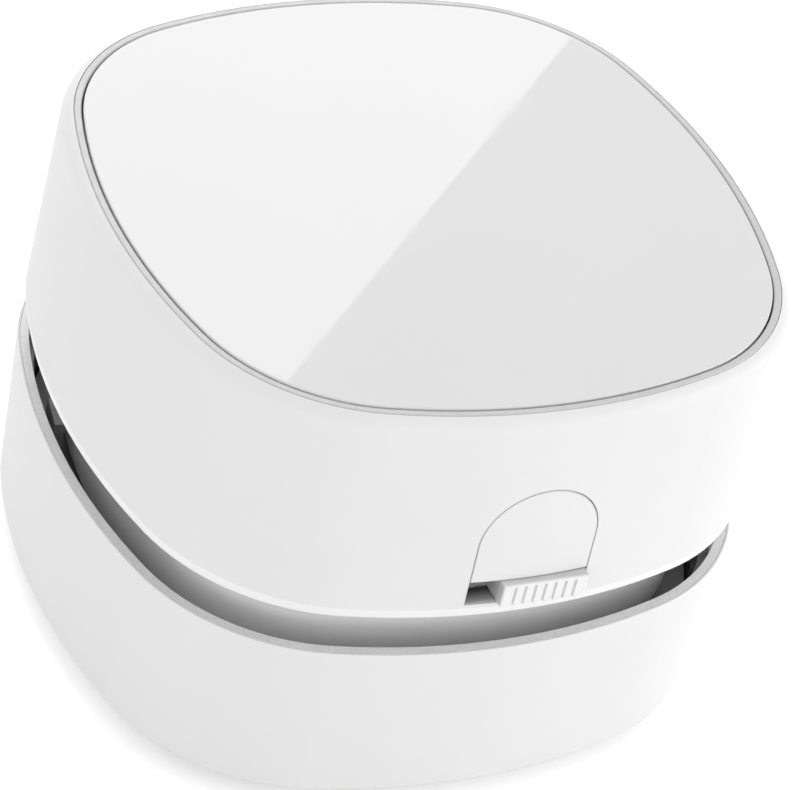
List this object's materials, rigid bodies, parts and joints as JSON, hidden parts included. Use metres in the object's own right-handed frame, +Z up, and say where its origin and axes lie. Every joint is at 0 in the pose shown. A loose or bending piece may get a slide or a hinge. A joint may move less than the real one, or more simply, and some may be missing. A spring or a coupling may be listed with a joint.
{
  "type": "desktop vacuum cleaner",
  "caption": "Small battery desk vacuum: rounded-square dust cup with brushed inlet, lift-off motor head with slide switch, and lift-off lid.",
  "frame": {"origin": "on the desk under the middle of the object", "axes": "+Z up; the slide switch is on the -Y side; the knob slides along X"},
  "size_m": [0.084, 0.085, 0.06],
  "materials": {
    "white_shell": "satin moulded ABS, white",
    "white_gloss": "polished acrylic, white",
    "trim_silver": "satin silver lacquer",
    "frame_grey": "fine texture, light grey",
    "cup_dark": "satin, dark grey",
    "base_grey": "fine texture, grey",
    "black_plastic": "matt black",
    "fan_plastic": "satin, dark grey",
    "filter_fleece": "needled filter fleece",
    "rubber_grey": "matt",
    "foot_felt": "soft, matt",
    "nylon": "fine bristles",
    "motor_steel": "zinc plated",
    "magnet": "sintered",
    "nickel": "nickel plated",
    "bronze": "sintered bronze",
    "copper": "enamelled copper",
    "cell_wrap": "printed-free wrapped cell",
    "screw_steel": "zinc plated",
    "board_green": "solder-masked board",
    "wire_red": "PVC insulation"
  },
  "bodies": {
    "cup": {"cup_shell": "white_shell", "rim_band": "trim_silver", "dust_cup": "cup_dark", "base_plate": "base_grey", "inlet_duct": "base_grey", "brush_holders": "black_plastic", "bristles": "nylon", "foot_pads": "foot_felt", "base_screws": "screw_steel"},
    "filter": {"filter_plate": "fan_plastic", "filter_frame": "base_grey", "filter_medium": "filter_fleece", "filter_seal": "rubber_grey"},
    "rotor": {"motor_shaft": "screw_steel", "fan_rotor": "frame_grey", "armature": "magnet", "armature_coils": "copper", "commutator": "copper"},
    "knob": {"switch_knob": "white_shell", "switch_stem": "black_plastic"},
    "lid": {"top_panel": "white_gloss", "lid_carrier": "frame_grey", "lid_magnets": "nickel"},
    "head": {"waist_frame": "frame_grey", "fan_housing": "fan_plastic", "fan_inlet_plate": "fan_plastic", "inlet_screws": "screw_steel", "motor_screws": "screw_steel", "deck_screws": "screw_steel", "tray_screws": "screw_steel", "motor_can": "motor_steel", "motor_magnets": "magnet", "motor_bushes": "bronze", "motor_end_cap": "black_plastic", "motor_terminals": "nickel", "motor_brushes": "copper", "motor_sleeve": "rubber_grey", "battery_left": "cell_wrap", "battery_right": "cell_wrap", "battery_springs": "nickel", "end_contacts": "nickel", "bridge_contact": "nickel", "battery_tray": "frame_grey", "head_shell": "white_shell", "trim_ring": "trim_silver", "lid_keepers": "nickel", "switch_plate": "white_shell", "switch_body": "black_plastic", "switch_board": "board_green", "lead_wires": "wire_red"}
  },
  "joints": [
    {"name": "filter_lift", "type": "slide", "parent": "cup", "child": "filter", "axis": [0, 0, 1], "range_m": [0, 0.03]},
    {"name": "head_lift", "type": "slide", "parent": "filter", "child": "head", "axis": [0, 0, 1], "range_m": [0, 0.04]},
    {"name": "lid_lift", "type": "slide", "parent": "head", "child": "lid", "axis": [0, 0, 1], "range_m": [0, 0.03]},
    {"name": "fan_spin", "type": "hinge", "parent": "head", "child": "rotor", "pos_m": [0, 0, 0.03], "axis": [0, 0, 1], "continuous": true},
    {"name": "switch_slide", "type": "slide", "parent": "head", "child": "knob", "axis": [1, 0, 0], "range_m": [-0.0035, 0]}
  ]
}
